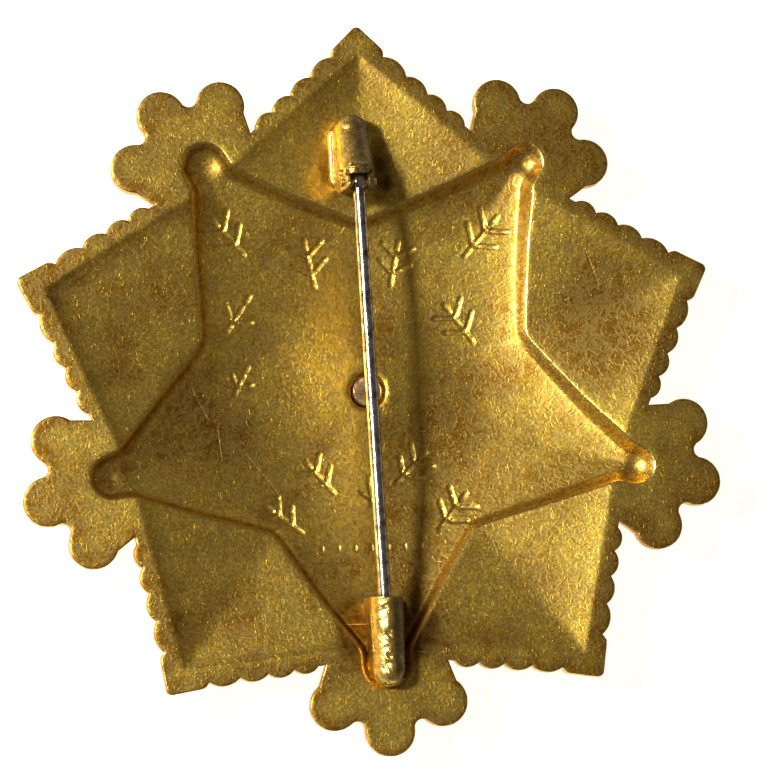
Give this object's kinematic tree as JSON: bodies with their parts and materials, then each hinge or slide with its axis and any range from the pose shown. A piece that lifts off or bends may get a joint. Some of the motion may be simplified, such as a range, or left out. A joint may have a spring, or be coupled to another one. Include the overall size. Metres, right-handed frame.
{
  "type": "order insignia with a hinged pin",
  "caption": "Star-shaped struck brass badge with scalloped arms, lobed flowers, a star pressed in from the back, and a hinged steel pin that closes in a hooked catch.",
  "frame": {"origin": "under the middle of the badge, on the surface that it lies on", "axes": "+Z out of the back, where the pin is; +Y along the arm that carries the hinge box; +X to its right"},
  "size_m": [0.048, 0.0502, 0.0075],
  "materials": {
    "plate_brass": "worn satin",
    "boss_brass": "satin",
    "rivet_copper": "filed, tarnished",
    "axle_brass": "filed",
    "pin_steel": "polished wire"
  },
  "bodies": {
    "badge": {"star_plate": "plate_brass", "centre_boss": "boss_brass", "centre_rivet": "rivet_copper", "hinge_axle": "axle_brass"},
    "needle": {"pin": "pin_steel"}
  },
  "joints": [
    {"name": "pin_lift", "type": "hinge", "parent": "badge", "child": "needle", "pos_m": [-0.0007, 0.0137, 0.00665], "axis": [-0.9998, -0.0175, 0], "range_deg": [0, 90]}
  ]
}
